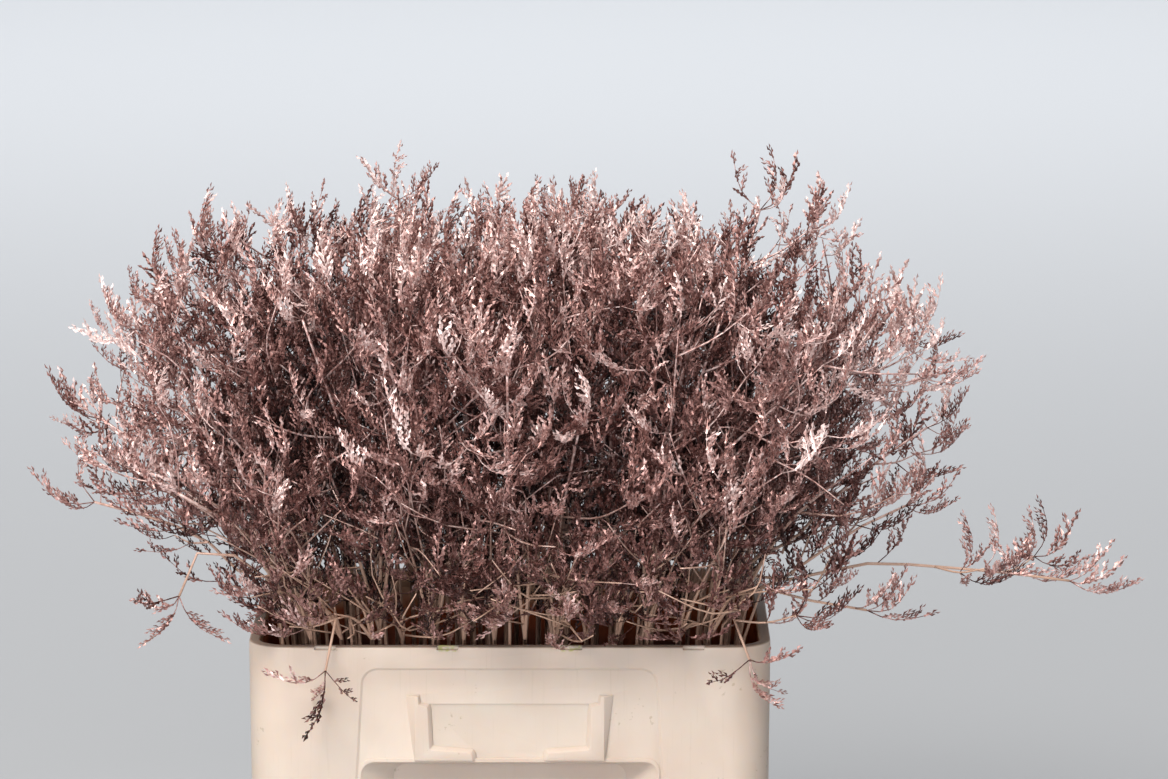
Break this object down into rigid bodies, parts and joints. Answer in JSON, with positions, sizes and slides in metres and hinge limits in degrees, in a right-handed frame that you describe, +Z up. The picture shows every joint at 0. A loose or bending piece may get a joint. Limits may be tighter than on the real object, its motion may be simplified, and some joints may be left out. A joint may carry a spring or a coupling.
{
  "type": "dried statice in a flower container",
  "caption": "Full bunch of painted dried statice sprays standing in a rectangular cream plastic flower container.",
  "frame": {"origin": "middle of the flat underside of the container", "axes": "+Z up, the container's front towards -Y, its long side along X, the long lone spray towards +X"},
  "size_m": [0.8452, 0.5376, 0.6958],
  "materials": {
    "container_plastic": "moulded cream polypropylene, satin, slightly translucent, with scuffs",
    "painted_statice": "dried flower stems and spikes under a thin metallic rose paint, tan where the paint is thin"
  },
  "bodies": {
    "root": {"container": "container_plastic", "spray_01": "painted_statice", "spray_02": "painted_statice", "spray_03": "painted_statice", "spray_04": "painted_statice", "spray_05": "painted_statice", "spray_06": "painted_statice", "spray_07": "painted_statice", "spray_08": "painted_statice", "spray_09": "painted_statice", "spray_10": "painted_statice", "spray_11": "painted_statice", "spray_12": "painted_statice", "spray_13": "painted_statice", "spray_14": "painted_statice", "spray_15": "painted_statice", "spray_16": "painted_statice", "spray_17": "painted_statice", "spray_18": "painted_statice", "spray_19": "painted_statice", "spray_20": "painted_statice", "spray_21": "painted_statice", "spray_22": "painted_statice", "spray_23": "painted_statice", "spray_24": "painted_statice", "spray_25": "painted_statice", "spray_26": "painted_statice", "spray_27": "painted_statice", "spray_28": "painted_statice", "spray_29": "painted_statice", "spray_30": "painted_statice", "spray_31": "painted_statice", "spray_32": "painted_statice", "spray_33": "painted_statice", "spray_34": "painted_statice", "spray_35": "painted_statice", "spray_36": "painted_statice", "spray_37": "painted_statice", "spray_38": "painted_statice", "spray_39": "painted_statice", "spray_40": "painted_statice", "spray_41": "painted_statice", "spray_42": "painted_statice", "spray_43": "painted_statice", "spray_44": "painted_statice", "spray_45": "painted_statice", "spray_46": "painted_statice", "spray_47": "painted_statice", "spray_48": "painted_statice", "spray_49": "painted_statice", "spray_50": "painted_statice", "spray_51": "painted_statice"}
  },
  "joints": []
}
